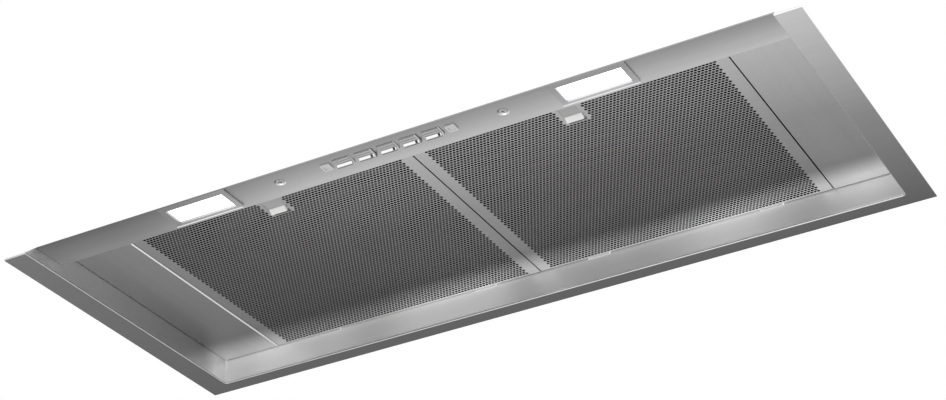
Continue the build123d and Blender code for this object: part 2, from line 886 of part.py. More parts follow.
def bush_places():
    places = []
    for turn in (90, 210, 330):
        angle = math.radians(turn)
        places.append((blower_x + bush_circle * math.cos(angle), blower_y + bush_circle * math.sin(angle)))
    return places


def blower_rod(radius, z0, z1):
    return rod_z(radius, blower_x, blower_y, z0, z1)


def impeller():
    """Drum of forward-curved blades under a plate, whose middle is a cup that takes the motor."""
    outer = impeller_radius
    inner = outer - blade_depth
    high = blade_low + blade_height
    cup_low = motor_foot - motor_gap - wheel_sheet
    wheel = blower_rod(outer, high, high + wheel_sheet)
    wheel += blower_rod(wheel_cup_radius, cup_low, high + wheel_sheet)
    wheel -= blower_rod(wheel_cup_radius - wheel_sheet, cup_low + wheel_sheet, high + wheel_sheet + 1)
    wheel += blower_rod(9, cup_low - 6, cup_low)
    wheel += blower_rod(outer, blade_low, blade_low + 2) - blower_rod(inner, blade_low - 1, blade_low + 3)
    start = (inner + 0.5, 0, blade_low)
    end = (outer - 0.5, 1.5, blade_low)
    front_arc = ThreePointArc(start, ((inner + outer) / 2, -1.4, blade_low), end)
    tip = Polyline(end, (outer - 0.3, 2.7, blade_low))
    back_arc = ThreePointArc((outer - 0.3, 2.7, blade_low), ((inner + outer) / 2 - 0.3, -0.2, blade_low),
                             (inner + 0.4, 1.2, blade_low))
    root = Polyline((inner + 0.4, 1.2, blade_low), start)
    blade = extrude(make_face(Wire([front_arc, tip.edge(), back_arc, root.edge()])),
                    amount=blade_height + 0.5, dir=(0, 0, 1))
    centre = Pos(blower_x, blower_y, 0)
    wheel = wheel.fuse(*[centre * Rot(0, 0, i * 360 / blade_count) * blade for i in range(blade_count)])
    return wheel - blower_rod(shaft_radius, cup_low - 10, cup_low + 5)


def motor_shaft():
    low = motor_foot - motor_gap - wheel_sheet - 5
    shaft = blower_rod(shaft_radius, low, motor_top + 0.5)
    return chamfer(shaft.edges().filter_by(GeomType.CIRCLE), 0.6)


def stack_low():
    return (motor_foot + motor_top - stack_height) / 2


def rotor():
    low = stack_low()
    core = blower_rod(rotor_radius, low, low + stack_height) + blower_rod(8, low - 1, low + stack_height + 1)
    return core - blower_rod(shaft_radius, low - 5, low + stack_height + 5)


def motor_can():
    foot = motor_foot
    can = blower_rod(motor_radius, foot, motor_top) - blower_rod(motor_radius - 1, foot + 2, motor_top + 1)
    can += blower_rod(bearing_radius + 3, foot + 1, foot + 2 + bearing_height)
    can -= blower_rod(bearing_radius, foot + 2, foot + 3 + bearing_height)
    return can - blower_rod(shaft_radius + 1.5, foot - 1, foot + 3)


def motor_stator():
    """Laminated core with the windings' two end turns."""
    low = stack_low()
    high = low + stack_height
    core = blower_rod(motor_radius - 1, low, high) - blower_rod(rotor_radius + 0.8, low - 5, high + 5)
    turns = blower_rod(motor_radius - 3, low - 1.5, high + 1.5)
    turns -= blower_rod(rotor_radius + 3, low - 5, high + 5)
    return core + turns


def bearing_lows():
    return motor_foot + 2, motor_top - bearing_height - 0.5


def motor_bearings():
    bearings = []
    for low in bearing_lows():
        high = low + bearing_height
        ring = blower_rod(bearing_radius, low, high)
        ring -= blower_rod(shaft_radius + shaft_clearance, low - 1, high + 1)
        groove = blower_rod(7.6, low - 1, low + 0.4) - blower_rod(5.6, low - 1, low + 0.4)
        bearings.append(ring - groove)
    return Compound(bearings)


def motor_bracket():
    """End shield with three arms that reach the rubber bushes under the scroll's roof."""
    low = motor_top
    high = bracket_top
    boss_low = bearing_lows()[1]
    shield = blower_rod(motor_radius, low, high)
    shield += blower_rod(bearing_radius + 3, boss_low, low)
    shield -= blower_rod(bearing_radius, boss_low - 1, low + 0.1)
    shield -= blower_rod(shaft_radius + 1, low - 8, low + 1)
    centre = Pos(blower_x, blower_y, 0)
    for i in range(6):
        shield -= centre * Rot(0, 0, 60 * i) * rod_z(5, 22, 0, low - 2, high + 2)
    for turn in (90, 210, 330):
        shield += centre * Rot(0, 0, turn) * block(28, bush_circle, -5, 5, low, high)
    for x, y in bush_places():
        shield += rod_z(bush_radius + 1, x, y, low, high)
        shield -= rod_z(motor_screw_radius + 0.3, x, y, low - 2, high + 2)
    return shield


def motor_bushes():
    bushes = []
    for x, y in bush_places():
        high = bracket_top + bush_height
        bush = rod_z(bush_radius, x, y, bracket_top, high)
        bushes.append(bush - rod_z(motor_screw_radius + 0.3, x, y, bracket_top - 1, high + 1))
    return Compound(bushes)


def motor_screws():
    screws = []
    for x, y in bush_places():
        screw = rod_z(motor_screw_radius, x, y, motor_top, scroll_roof)
        screw += rod_z(3.6, x, y, motor_top - 1.8, motor_top)
        screws.append(screw - Pos(x, y, motor_top - 1.8) * Box(5, 0.9, 1.6))
    return Compound(screws)


def outlet_collar():
    base = housing_height
    top = base + collar_height
    inner = collar_radius - collar_wall
    collar = rod_z(collar_radius + collar_flange, 0, collar_y, base, base + 2)
    for place in collar_screw_places():
        collar += rod_z(8, place.position.X, place.position.Y, base, base + 2)
    collar += rod_z(collar_radius, 0, collar_y, base, top)
    collar -= rod_z(inner, 0, collar_y, base - 1, top + 1)
    ledge = rod_z(inner + 1, 0, collar_y, base + 3.6, base + 5.4)
    collar += ledge - rod_z(inner - 3, 0, collar_y, base, top)
    for place in collar_screw_places():
        collar -= rod_z(tapping_screw_radius, place.position.X, place.position.Y, base - 5, base + 5)
    reach = collar_radius + 1
    return collar - rod_x(flap_pin_radius, -reach, reach, collar_y, base + flap_pin_height)


def damper_pin():
    reach = collar_radius - 1
    pin = rod_x(flap_pin_radius, -reach, reach, collar_y, housing_height + flap_pin_height)
    return chamfer(pin.edges().filter_by(GeomType.CIRCLE), 0.4)


def knuckle_spans(side):
    if side > 0:
        return [(-50, -30), (5, 25)]
    return [(-25, -5), (30, 50)]


def damper_flap(side):
    """Half a disc that lies on the collar's ledge and swings up about the middle pin."""
    axis_z = housing_height + flap_pin_height
    radius = collar_radius - collar_wall - flap_clearance
    low = housing_height + 5.4 + fit
    plate = rod_z(radius, 0, 0, low, low + flap_thickness)
    plate -= block(-100, 100, *sorted((side * 0.8, -side * 100)), low - 1, low + 5)
    knuckle = flap_pin_radius + 1.6
    for x0, x1 in knuckle_spans(-side):
        plate -= block(x0 - 0.5, x1 + 0.5, *sorted((0, side * (knuckle + 0.9))), low - 1, low + 5)
    for x0, x1 in knuckle_spans(side):
        plate += rod_x(knuckle, x0, x1, 0, axis_z)
        plate += block(x0, x1, *sorted((side * 1.0, side * 9)), low, low + flap_thickness + 0.8)
    plate -= rod_x(flap_pin_radius + shaft_clearance, -100, 100, 0, axis_z)
    return Pos(0, collar_y, 0) * plate


def capacitor():
    """Can with two tabs and a moulded stud that snaps through the housing's top."""
    x = capacitor_x
    y = capacitor_y
    low = housing_top - capacitor_length
    body = rod_z(capacitor_radius, x, y, low, housing_top)
    body = fillet(body.edges().sort_by(Axis.Z)[0], 1.5)
    for offset_x in (-5, 4.2):
        body += block(x + offset_x, x + offset_x + 0.8, y - 3, y + 3, low - 6, low + 1)
    stud = rod_z(stud_radius, x, y, housing_top, housing_height + stud_head)
    stud += Pos(x, y, housing_height + stud_head / 2) * Cone(stud_radius + 0.8, stud_radius - 0.6, stud_head)
    return body + stud


def junction_box_span(grow):
    half_x = junction_half_x + grow
    half_y = junction_half_y + grow
    return gland_x - half_x, gland_x + half_x, gland_y - half_y, gland_y + half_y


def junction_box():
    low = housing_top - junction_depth
    box = block(*junction_box_span(0), low, housing_top)
    box = fillet(box.edges().filter_by(Axis.Z), 3)
    box -= block(*junction_box_span(-2), low - 1, housing_top - 2)
    return box - rod_z(gland_radius - 2, gland_x, gland_y, low, housing_top + 2)


def lid_low():
    return housing_top - junction_depth - lid_thickness


def junction_lid():
    lid = block(*junction_box_span(0.6), lid_low(), lid_low() + lid_thickness)
    return fillet(lid.edges().filter_by(Axis.Z), 3.4)


def terminal_block():
    low = housing_top - junction_depth
    x0 = gland_x - 30
    body = block(x0, x0 + terminal_length, gland_y - 26, gland_y - 10, low, low + terminal_height)
    for i in range(3):
        x = x0 + 6 + 12 * i
        body -= rod_z(3, x, gland_y - 18, low + terminal_height - 5, low + terminal_height + 1)
        body -= rod_y(2.2, x, gland_y - 30, gland_y - 6, low + 6)
    return body


def cable_gland():
    """Gland for the mains lead, with its flange outside and its nut inside the junction box."""
    x = gland_x
    y = gland_y
    outer = Pos(x, y, housing_height) * extrude(RegularPolygon(gland_radius + 2, 6), amount=6)
    dome = Pos(x, y, housing_height + 10) * Cone(gland_radius, gland_radius - 3, 8)
    thread = rod_z(gland_radius - 2, x, y, housing_top - 8, housing_height)
    nut = Pos(x, y, housing_top - 7) * extrude(RegularPolygon(gland_radius + 1, 6), amount=5)
    return outer + dome + thread + nut - rod_z(gland_bore, x, y, housing_top - 12, housing_height + 30)


def wiring_loom():
    """Sleeved lead from the junction box, along a side panel and behind the lamp to the switch block."""
    low = strip_inside + loom_radius + 0.4
    line = lens_y()[1] + 2.1 + loom_radius + 0.6
    end = clip_offset + clip_width / 2 + 1.2
    rise = filter_plane + sheet + loom_radius + 0.5
    run = filter_top + 10
    path = FilletPolyline(
        (gland_x + 25, gland_y - 25, lid_low()),
        (gland_x + 25, gland_y - 25, run),
        (loom_x, 20, run),
        (loom_x, -60, run - 4),
        (loom_x, filter_front + 8, rise),
        (loom_x, line, rise),
        (loom_x, line, low),
        (end, line, low),
        radius=4,
    )
    section = Plane(path @ 0, z_dir=path % 0) * Circle(loom_radius)
    return sweep(section, path=path)


sides = (("left", -1), ("right", 1))
names = ("off", "speed_1", "speed_2", "speed_3", "light")

parts = {
    "trim_frame": trim_frame(),
    "control_strip": control_strip(),
    "strip_screws": strip_screws(),
    "switch_block": switch_block(),
    "switch_clips": switch_clips(),
    "button_springs": button_springs(),
    "housing_shell": housing_shell(),
    "housing_screws": housing_screws(),
    "snap_supports": snap_supports(),
    "lower_scroll_half": lower_scroll_half(),
    "upper_scroll_half": upper_scroll_half(),
    "impeller": impeller(),
    "motor_shaft": motor_shaft(),
    "motor_rotor": rotor(),
    "motor_can": motor_can(),
    "motor_stator": motor_stator(),
    "motor_bearings": motor_bearings(),
    "motor_bracket": motor_bracket(),
    "motor_bushes": motor_bushes(),
    "motor_screws": motor_screws(),
    "outlet_collar": outlet_collar(),
    "damper_pin": damper_pin(),
    "front_damper_flap": damper_flap(-1),
    "rear_damper_flap": damper_flap(1),
    "capacitor": capacitor(),
    "junction_box": junction_box(),
    "junction_lid": junction_lid(),
    "terminal_block": terminal_block(),
    "cable_gland": cable_gland(),
    "wiring_loom": wiring_loom(),
}
for index, name in enumerate(names):
    parts["button_" + name] = button(index)
for word, side in sides:
    parts[word + "_side_panel"] = side_panel(side)
    parts[word + "_end_plate"] = end_plate(side)
    parts[word + "_lamp_bezel"] = lamp_bezel(side)
    parts[word + "_lamp_lens"] = lamp_lens(side)
    parts[word + "_lamp_tray"] = lamp_tray(side)
    parts[word + "_led_board"] = led_board(side)
    parts[word + "_filter_face"] = filter_face(side)
    parts[word + "_filter_mesh"] = filter_mesh(side)
    parts[word + "_filter_back"] = filter_back(side)
    parts[word + "_latch_case"] = latch_case(side)
    parts[word + "_latch_slider"] = latch_slider(side)
    parts[word + "_latch_spring"] = latch_spring(side)

os.makedirs("parts", exist_ok=True)
for name, shape in parts.items():
    export_step(shape, "parts/" + name + ".step")
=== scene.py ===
import math

import bmesh
import bpy
from mathutils import Matrix, Vector


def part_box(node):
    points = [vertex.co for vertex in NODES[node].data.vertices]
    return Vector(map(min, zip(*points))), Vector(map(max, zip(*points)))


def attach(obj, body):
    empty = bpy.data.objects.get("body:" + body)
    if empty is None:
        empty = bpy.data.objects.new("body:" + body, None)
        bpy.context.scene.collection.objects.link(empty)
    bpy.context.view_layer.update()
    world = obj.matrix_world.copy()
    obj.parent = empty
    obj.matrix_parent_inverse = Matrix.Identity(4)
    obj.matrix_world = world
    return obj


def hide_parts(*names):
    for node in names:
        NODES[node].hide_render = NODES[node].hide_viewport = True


bl_info = {
    "name": "Built-in Range Hood",
    "version": (1, 0, 0),
    "blender": (4, 5, 0),
    "location": "View3D > Sidebar > Hood",
    "description": "Finishes for a built-in range hood: perforated filters, brushed steel, lamps and keys",
    "category": "Object",
}

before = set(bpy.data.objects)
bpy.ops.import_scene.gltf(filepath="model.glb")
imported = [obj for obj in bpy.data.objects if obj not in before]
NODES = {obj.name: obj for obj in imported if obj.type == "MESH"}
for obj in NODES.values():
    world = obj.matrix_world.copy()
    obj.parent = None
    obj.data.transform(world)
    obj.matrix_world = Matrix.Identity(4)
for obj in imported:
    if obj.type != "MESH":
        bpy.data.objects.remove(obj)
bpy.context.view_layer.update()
SIDES = ("left", "right")
KEYS = ("off", "speed_1", "speed_2", "speed_3", "light")
MM = 0.001

# sizes that the finishes share with the CAD model, in metres
FLANGE_Y = (-0.156, 0.156)
STRIP_Y = (-0.143, -0.107)
FIELD_Y = (-0.105, 0.140)
REAR_WALL_Y = (0.1395, 0.1412)
LEFT_SEAM_X = (-0.2729, -0.2709)
DIMPLE_X = 100.0 * MM
DIMPLE_Y = -127.8 * MM
DIMPLE_EDGE = (4.6 * MM, 5.2 * MM)
KEY_PITCH = 20.0 * MM
KEY_DEPTH = 10.6 * MM
HOOK_REACH = 4.2 * MM
FRONT_FOLD = 2.0 * MM
LATCH_REAR_BORDER = 6.3 * MM
PUNCHED_DEPTH = 0.7 * MM
TRAY_SKIN = 1.0 * MM

# ---------------------------------------------------------------- properties

class HoodSteelSettings(bpy.types.PropertyGroup):
    steel: bpy.props.FloatVectorProperty(
        name="Steel", description="Colour of the brushed stainless sheet",
        subtype="COLOR", size=3, min=0, max=1, default=(0.565, 0.565, 0.565))
    galvanised: bpy.props.FloatVectorProperty(
        name="Galvanised", description="Colour of the housing's zinc-coated sheet",
        subtype="COLOR", size=3, min=0, max=1, default=(0.50, 0.52, 0.54))
    roughness: bpy.props.FloatProperty(
        name="Roughness", description="Roughness of the brushed sheet", min=0, max=1, default=0.34)
    grain: bpy.props.FloatProperty(
        name="Grain", description="Depth of the brushed lines", min=0, max=1, default=0.10)


class HoodFilterSettings(bpy.types.PropertyGroup):
    pitch: bpy.props.FloatProperty(
        name="Pitch", description="Distance between holes along a row", unit="LENGTH", default=3.05 * MM)
    row: bpy.props.FloatProperty(
        name="Row", description="Distance between rows of holes", unit="LENGTH", default=3.125 * MM)
    hole: bpy.props.FloatProperty(
        name="Hole", description="Width of a hole", unit="LENGTH", default=2.75 * MM)
    side_margin: bpy.props.FloatProperty(
        name="Side margin", description="Plain sheet beside the holes", unit="LENGTH", default=9.6 * MM)
    rear_margin: bpy.props.FloatProperty(
        name="Rear margin", description="Plain sheet behind the holes", unit="LENGTH", default=2.4 * MM)
    latch_border: bpy.props.FloatProperty(
        name="Latch border", description="Width of the plain sheet round a latch", unit="LENGTH",
        default=19.6 * MM)
    mesh: bpy.props.FloatVectorProperty(
        name="Mesh", description="Colour of the filter's mesh pack",
        subtype="COLOR", size=3, min=0, max=1, default=(0.30, 0.31, 0.32))


class HoodControlSettings(bpy.types.PropertyGroup):
    key: bpy.props.FloatVectorProperty(
        name="Key", description="Colour of the push buttons",
        subtype="COLOR", size=3, min=0, max=1, default=(0.40, 0.40, 0.41))
    bezel: bpy.props.FloatVectorProperty(
        name="Bezel", description="Colour of the lamp bezels",
        subtype="COLOR", size=3, min=0, max=1, default=(0.42, 0.42, 0.43))
    lens_glow: bpy.props.FloatProperty(
        name="Glow", description="Brightness of the lit lens", min=0, max=20, default=2.2)
    latch: bpy.props.FloatVectorProperty(
        name="Latch plate", description="Colour of the latch's fixed plate",
        subtype="COLOR", size=3, min=0, max=1, default=(0.38, 0.38, 0.38))
    ridge: bpy.props.FloatVectorProperty(
        name="Latch ridge", description="Colour of the latch's finger ridge",
        subtype="COLOR", size=3, min=0, max=1, default=(0.86, 0.86, 0.85))


class HoodStageSettings(bpy.types.PropertyGroup):
    eye: bpy.props.FloatVectorProperty(
        name="Eye", description="Where the camera stands", subtype="TRANSLATION", size=3,
        default=(0.711, -1.405, -0.882))
    aim: bpy.props.FloatVectorProperty(
        name="Aim", description="The point that the camera looks at", subtype="TRANSLATION", size=3,
        default=(0.0266, -0.0393, 0.0))
    roll: bpy.props.FloatProperty(
        name="Roll", description="Turn of the camera about its own line of sight", subtype="ANGLE",
        default=math.radians(-2.665))
    lens: bpy.props.FloatProperty(
        name="Lens", description="Focal length in millimetres on a 36 mm sensor", default=83.65)
    floor: bpy.props.FloatProperty(
        name="Floor", description="Height of the floor", unit="LENGTH", default=-1.35)


# ---------------------------------------------------------------- shader maths

class Wire:
    """A node's output that can be used in plain arithmetic."""

    def __init__(self, shader, socket):
        self.shader = shader
        self.socket = socket

    def _math(self, operation, *values):
        return self.shader.node("ShaderNodeMath", {"operation": operation}, *values)

    def __add__(self, other):
        return self._math("ADD", self, other)

    def __radd__(self, other):
        return self._math("ADD", other, self)

    def __sub__(self, other):
        return self._math("SUBTRACT", self, other)

    def __rsub__(self, other):
        return self._math("SUBTRACT", other, self)

    def __mul__(self, other):
        return self._math("MULTIPLY", self, other)

    def __truediv__(self, other):
        return self._math("DIVIDE", self, other)

    def rounded(self):
        return self._math("ROUND", self)

    def power(self, exponent):
        return self._math("POWER", self, exponent)

    def inside(self, low, high, soft):
        """1 between low and high, with edges as wide as soft."""
        return self.smooth(low, low + soft) - self.smooth(high - soft, high)

    def smooth(self, low, high):
        """Rises smoothly from 0 at low to 1 at high."""
        return self.shader.node("ShaderNodeMapRange", {"interpolation_type": "SMOOTHSTEP"},
                                self, low, high, 0.0, 1.0)

    def ramp(self, low, high, *tones):
        """Grey tones at even steps from low to high."""
        share = self.shader.node("ShaderNodeMapRange", {}, self, low, high, 0.0, 1.0)
        made = self.shader.tree.nodes.new("ShaderNodeValToRGB")
        stops = made.color_ramp.elements
        while len(stops) < len(tones):
            stops.new(0.5)
        for index, tone in enumerate(tones):
            stops[index].position = index / (len(tones) - 1)
            stops[index].color = (tone / 2, tone / 2, tone / 2, 1.0)
        self.shader.tree.links.new(share.socket, made.inputs["Fac"])
        return Wire(self.shader, made.outputs["Color"]) * 2.0


class Shader:
    """One material: a Principled shader and the nodes that feed it."""

    def __init__(self, name, **constants):
        self.material = bpy.data.materials.new(name)
        self.material.use_nodes = True
        self.tree = self.material.node_tree
        self.bsdf = self.tree.nodes["Principled BSDF"]
        for key, value in constants.items():
            self.bsdf.inputs[key.replace("_", " ")].default_value = value
        place = self.tree.nodes.new("ShaderNodeTexCoord")
        self.place = Wire(self, place.outputs["Object"])
        split = self.tree.nodes.new("ShaderNodeSeparateXYZ")
        self.tree.links.new(self.place.socket, split.inputs[0])
        self.x, self.y, self.z = (Wire(self, out) for out in split.outputs)

    def plug(self, value, socket):
        if isinstance(value, Wire):
            self.tree.links.new(value.socket, socket)
        else:
            socket.default_value = value

    def node(self, kind, settings, *values, output=0, **named):
        made = self.tree.nodes.new(kind)
        for key, value in settings.items():
            setattr(made, key, value)
        for index, value in enumerate(values):
            self.plug(value, made.inputs[index])
        for key, value in named.items():
            self.plug(value, made.inputs[key.replace("_", " ")])
        return Wire(self, made.outputs[output])

    def stretched(self, scale):
        return self.node("ShaderNodeMapping", {}, self.place, Scale=scale)

    def noise(self, scale, detail=3.0, stretch=(1, 1, 1), roughness=0.5):
        return self.node("ShaderNodeTexNoise", {}, Vector=self.stretched(stretch), Scale=scale, Detail=detail,
                         Roughness=roughness)

    def mix(self, factor, first, second):
        made = self.tree.nodes.new("ShaderNodeMix")
        made.data_type = "RGBA"
        self.plug(factor, made.inputs["Factor"])
        colours = [socket for socket in made.inputs if socket.type == "RGBA"]
        for value, socket in zip((first, second), colours):
            self.plug(self.rgba(value), socket)
        return Wire(self, next(out for out in made.outputs if out.type == "RGBA"))

    def rgba(self, colour):
        return colour if isinstance(colour, Wire) else (*colour[:3], 1.0)

    def times(self, colour, tone):
        """A colour made lighter or darker by a tone."""
        made = self.tree.nodes.new("ShaderNodeVectorMath")
        made.operation = "SCALE"
        self.plug(colour if isinstance(colour, Wire) else tuple(colour[:3]), made.inputs[0])
        self.plug(tone, made.inputs["Scale"])
        return Wire(self, made.outputs[0])

    def between(self, factor, first, second):
        """A number that goes from first to second as the factor goes from 0 to 1."""
        return (1 - factor) * first + factor * second

    def bump(self, height, strength, distance):
        return self.node("ShaderNodeBump", {}, Strength=strength, Distance=distance, Height=height)

    def set(self, **sockets):
        for key, value in sockets.items():
            self.plug(value, self.bsdf.inputs[key.replace("_", " ")])
        return self.material


def shade(colour, factor):
    return tuple(min(1.0, channel * factor) for channel in colour)


def finish_node(name, material):
    """Gives a CAD node its material."""
    mesh_object = NODES[name]
    if not mesh_object.material_slots:
        mesh_object.data.materials.append(material)
    for slot in mesh_object.material_slots:
        slot.material = material
    for polygon in mesh_object.data.polygons:
        polygon.material_index = 0


# ---------------------------------------------------------------- finishes

def brushed(name, along, tone=None, wall=None):
    """Brushed stainless sheet.

    tone takes the shader and gives how light the sheet is, which is painted light and shade; wall gives where
    it shows a painted reflection of light.
    """
    look = bpy.context.scene.hood_steel
    shader = Shader(name, Metallic=1.0, Anisotropic=0.4)
    stretch = {"x": (0.012, 1, 1), "y": (1, 0.012, 1)}[along]
    lines = shader.noise(1500.0, 2.0, stretch, 0.65)
    broad = shader.noise(160.0, 2.0, stretch, 0.5)
    clouds = shader.noise(7.0, 3.0)
    base = tuple(look.steel)
    colour = shader.mix(lines * 0.55 + broad * 0.45, shade(base, 0.88), shade(base, 1.10))
    if tone:
        colour = shader.times(colour, tone(shader))
    if wall:
        rise = wall(shader)
        # painted reflection: where wall is 1 the sheet gets a pale clouded grey and less metal, standing in
        # for light reflected off it
        cloud = shader.noise(9.0, 1.0, (1, 0.2, 0.2))
        reflected = shader.mix(cloud.smooth(0.30, 0.70), (0.45, 0.45, 0.45), (0.80, 0.80, 0.80))
        colour = shader.mix(rise, colour, reflected)
        shader.set(Metallic=1 - rise * 0.8)
    rough = look.roughness - 0.07 + lines * 0.10 + clouds * 0.06
    return shader.set(Base_Color=colour, Roughness=rough, Normal=shader.bump(lines, look.grain, 0.0002))


def wall_glow(shader):
    """Painted light: the rear ends are painted lightest, where the lamps' light comes back off the rear wall.
    """
    return shader.y.smooth(0.100, 0.140)


def trim_painted_light(shader):
    """Painted light and shade: the flange is painted darker towards the wall, and its inner bend gets a
    painted highlight where it catches the light.
    """
    left = shader.y.ramp(*FLANGE_Y, 0.35, 0.18)
    right = shader.y.ramp(*FLANGE_Y, 1.15, 0.5, 0.2)
    flange = shader.between(shader.x.smooth(-0.30, 0.30), left, right)
    # painted light on the side walls: lightest at the front, and light again at the rear ends
    side_wall = shader.y.ramp(-0.140, 0.140, 1.8, 1.0) + wall_glow(shader) * 1.1
    bend = shader.z.inside(0.0001, 0.0018, 0.0006) * 0.8
    return shader.between(shader.z.smooth(0.0012, 0.0022), flange + bend, side_wall)


def rear_wall(shader):
    """1 on the tray's rear wall, 0 elsewhere."""
    return shader.y.smooth(*REAR_WALL_Y) * shader.z.smooth(0.0015, 0.003)


def strip_painted_light(shader):
    """Painted shade: the strip is painted darkest at its left end and along its front edge."""
    across = shader.between(shader.x.smooth(-0.27, -0.06), 0.5, 1.05)
    tone = across * shader.y.ramp(*STRIP_Y, 0.55, 1.05)
    along = (shader.x * shader.x).power(0.5) - DIMPLE_X
    over = shader.y - DIMPLE_Y
    dimple = 1 - ((along * along + over * over).power(0.5)).smooth(*DIMPLE_EDGE)
    # painted shade and highlight in each screw dimple: darker at its front, a bright crescent at its rear
    crescent = shader.between(over.smooth(-3.0 * MM, 4.0 * MM), 0.45, 2.0)
    return shader.between(dimple, tone, tone * crescent)


def panel_painted_light(shader):
    """Painted light and shade: the right panel is painted lighter than the left, which has a painted bright
    seam beside its filter; both are painted lightest at the rear.
    """
    left = shader.y.ramp(*FIELD_Y, 0.45, 0.30)
    right = shader.y.ramp(*FIELD_Y, 1.0, 0.55, 0.40)
    seam = shader.x.inside(*LEFT_SEAM_X, 0.0004)
    glow = shader.between(shader.x.smooth(-0.01, 0.01), 1.0, 1.6)
    return shader.between(shader.x.smooth(-0.01, 0.01), left, right) + wall_glow(shader) * glow + seam * 1.3


def face_painted_light(shader):
    """Painted light: the filters' faces are painted lighter to the right and at the rear."""
    left = shader.y.ramp(*FIELD_Y, 0.5, 0.3)
    right = shader.y.ramp(*FIELD_Y, 0.95, 0.55, 0.4)
    glow = shader.between(shader.x.smooth(-0.27, 0.0), 0.9, 1.6)
    return shader.between(shader.x.smooth(-0.27, 0.0), left, right) + wall_glow(shader) * glow


def galvanised(name):
    """Zinc-coated sheet with its crystal pattern."""
    look = bpy.context.scene.hood_steel
    shader = Shader(name, Metallic=0.85)
    spangle = shader.node("ShaderNodeTexVoronoi", {"feature": "F1"}, Vector=shader.place, Scale=260.0,
                          output=1)
    grey = shader.node("ShaderNodeRGBToBW", {}, spangle)
    fine = shader.noise(400.0, 2.0)
    base = tuple(look.galvanised)
    colour = shader.mix(grey, shade(base, 0.82), shade(base, 1.18))
    rough = 0.36 + grey * 0.16 + fine * 0.06
    return shader.set(Base_Color=colour, Roughness=rough, Normal=shader.bump(fine, 0.06, 0.0002))


def moulded(name, colour, roughness, grain=900.0, depth=0.12, coat=0.0):
    """Moulded plastic with a fine spark texture and slight mottling."""
    shader = Shader(name, Metallic=0.0, Coat_Weight=coat)
    spark = shader.noise(grain, 3.0)
    clouds = shader.noise(12.0, 2.0)
    tint = shader.mix(clouds * 0.6 + spark * 0.4, shade(colour, 0.88), shade(colour, 1.10))
    rough = roughness - 0.05 + spark * 0.10
    return shader.set(Base_Color=tint, Roughness=rough, Normal=shader.bump(spark, depth, 0.0003))


def machined(name, colour, roughness, metallic=1.0, scale=700.0, stretch=(1, 1, 1)):
    """Turned, plated or drawn metal."""
    shader = Shader(name, Metallic=metallic)
    marks = shader.noise(scale, 2.0, stretch)
    tint = shader.mix(marks, shade(colour, 0.85), shade(colour, 1.12))
    return shader.set(Base_Color=tint, Roughness=roughness - 0.05 + marks * 0.12,
                      Normal=shader.bump(marks, 0.08, 0.0002))


def laminated(name, colour):
    """Stacked steel sheets, whose edges show as fine rings along the shaft."""
    shader = Shader(name, Metallic=0.6)
    stack = shader.node("ShaderNodeTexWave", {"bands_direction": "Z"}, Vector=shader.place, Scale=320.0,
                        Distortion=0.4, output=1)
    tint = shader.mix(stack, shade(colour, 0.7), shade(colour, 1.25))
    return shader.set(Base_Color=tint, Roughness=0.45 + stack * 0.2, Normal=shader.bump(stack, 0.3, 0.0003))


def mesh_pack(name, colour):
    """Layers of expanded mesh: bright strands over near-black gaps of painted shade, with painted shade
    darkest close behind the perforated face.
    """
    shader = Shader(name, Metallic=0.7)
    strands = shader.node("ShaderNodeTexVoronoi", {"feature": "DISTANCE_TO_EDGE"},
                          Vector=shader.stretched((0.6, 1, 1)), Scale=420.0)
    strand = 1 - strands.smooth(0.03, 0.14)
    low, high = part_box("left_filter_mesh")
    depth = shader.z.smooth(low.z + 0.0005, low.z + 0.004)
    # painted shade: between the strands and close behind the face the colour falls to near black
    tint = shader.mix(strand * (0.03 + depth * 0.97), (0.006, 0.006, 0.006), colour)
    return shader.set(Base_Color=tint, Roughness=0.5 + strand * 0.1, Normal=shader.bump(strand, 0.5, 0.0006))


# ---------------------------------------------------------------- mesh helpers

def new_piece(name, mesh, body, slot, node, *materials):
    """Adds a finished mesh as a piece that rides on a body and stands for a CAD node."""
    piece = bpy.data.objects.new(name, mesh)
    bpy.context.scene.collection.objects.link(piece)
    for material in materials:
        mesh.materials.append(material)
    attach(piece, body)
    if node:
        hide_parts(node)
    return piece


def mesh_from(bm, name):
    mesh = bpy.data.meshes.new(name)
    bm.to_mesh(mesh)
    bm.free()
    return mesh


# ---------------------------------------------------------------- perforated filter faces

class HOOD_OT_filter_faces(bpy.types.Operator):
    """Builds the perforated face of each filter, with the plain border round its latch"""
    bl_idname = "hood.filter_faces"
    bl_label = "Filter faces"

    def execute(self, context):
        look = context.scene.hood_filter
        steel = brushed("filter face steel", "x", face_painted_light)
        # painted shade: the walls of the holes are near-black so that the holes read dark
        punched = machined("punched edge", (0.030, 0.030, 0.030), 0.55, metallic=0.6)
        for word in SIDES:
            build_filter_face(word, look, steel, punched)
        return {"FINISHED"}


def perforation_cell(bm, look, x, y, plane):
    """One hole in its rectangle of sheet: a flat ring that faces down, and the hole's wall above it."""
    angles = [math.radians(quarter + turn) for quarter in (0, 90, 180, 270) for turn in (0, 27, 45, 63)]
    rims = []
    for angle in angles:
        along = math.cos(angle)
        across = math.sin(angle)
        reach = max(abs(along), abs(across))
        edge = (x + along / reach * look.pitch / 2, y + across / reach * look.row / 2, plane)
        round_x = x + along * look.hole / 2
        round_y = y + across * look.hole / 2
        top = plane + PUNCHED_DEPTH
        rims.append([bm.verts.new(edge), bm.verts.new((round_x, round_y, plane)),
                     bm.verts.new((round_x, round_y, top))])
    for first, second in zip(rims, rims[1:] + rims[:1]):
        bm.faces.new((first[0], first[1], second[1], second[0]))
        # the hole's wall takes the second material, the near-black painted shade
        bm.faces.new((first[1], first[2], second[2], second[1])).material_index = 1


